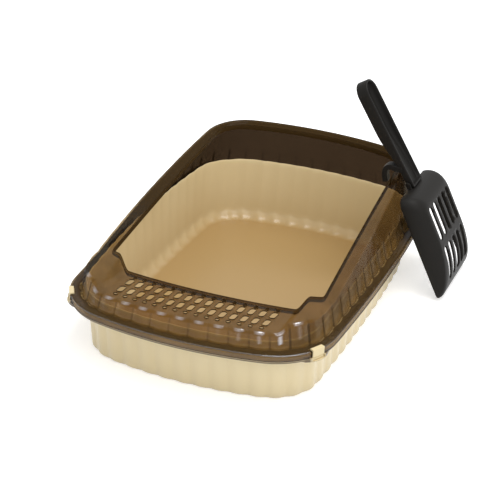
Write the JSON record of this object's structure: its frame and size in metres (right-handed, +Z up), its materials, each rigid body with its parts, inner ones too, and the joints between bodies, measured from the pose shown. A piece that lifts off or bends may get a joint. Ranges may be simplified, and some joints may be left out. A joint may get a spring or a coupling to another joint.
{
  "type": "litter box",
  "caption": "Open-top pet litter box: fluted beige tray, smoked see-through cover with a slotted front step, corner latches, and a dark slotted scoop hung on its side.",
  "frame": {"origin": "centre of the tray's flat base, on the floor", "axes": "+Z up, front with the slotted step towards -Y, the scoop hangs on the +X side"},
  "size_m": [0.3681, 0.48, 0.2431],
  "materials": {
    "beige_plastic": "satin",
    "smoked_plastic": "gloss",
    "black_plastic": "satin"
  },
  "bodies": {
    "tray": {"tray": "beige_plastic"},
    "cover": {"cover": "smoked_plastic"},
    "scoop": {"scoop_blade": "black_plastic", "scoop_handle": "black_plastic"},
    "latch_front_right": {"latch_front_right": "beige_plastic"},
    "latch_back_right": {"latch_back_right": "beige_plastic"},
    "latch_front_left": {"latch_front_left": "beige_plastic"},
    "latch_back_left": {"latch_back_left": "beige_plastic"}
  },
  "joints": [
    {"name": "cover_lift", "type": "slide", "parent": "tray", "child": "cover", "axis": [0, 0, 1], "range_m": [0, 0.12]},
    {"name": "scoop_lift", "type": "slide", "parent": "cover", "child": "scoop", "axis": [0, 0, 1], "range_m": [0, 0.15]},
    {"name": "latch_front_right_flip", "type": "hinge", "parent": "tray", "child": "latch_front_right", "pos_m": [0.14464, -0.19057, 0.0606], "axis": [0.4788, 0.8779, 0], "range_deg": [0, 60]},
    {"name": "latch_back_right_flip", "type": "hinge", "parent": "tray", "child": "latch_back_right", "pos_m": [0.14464, 0.19057, 0.0606], "axis": [-0.4788, 0.8779, 0], "range_deg": [0, 60]},
    {"name": "latch_front_left_flip", "type": "hinge", "parent": "tray", "child": "latch_front_left", "pos_m": [-0.14464, -0.19057, 0.0606], "axis": [0.4788, -0.8779, 0], "range_deg": [0, 60]},
    {"name": "latch_back_left_flip", "type": "hinge", "parent": "tray", "child": "latch_back_left", "pos_m": [-0.14464, 0.19057, 0.0606], "axis": [-0.4788, -0.8779, 0], "range_deg": [0, 60]}
  ]
}
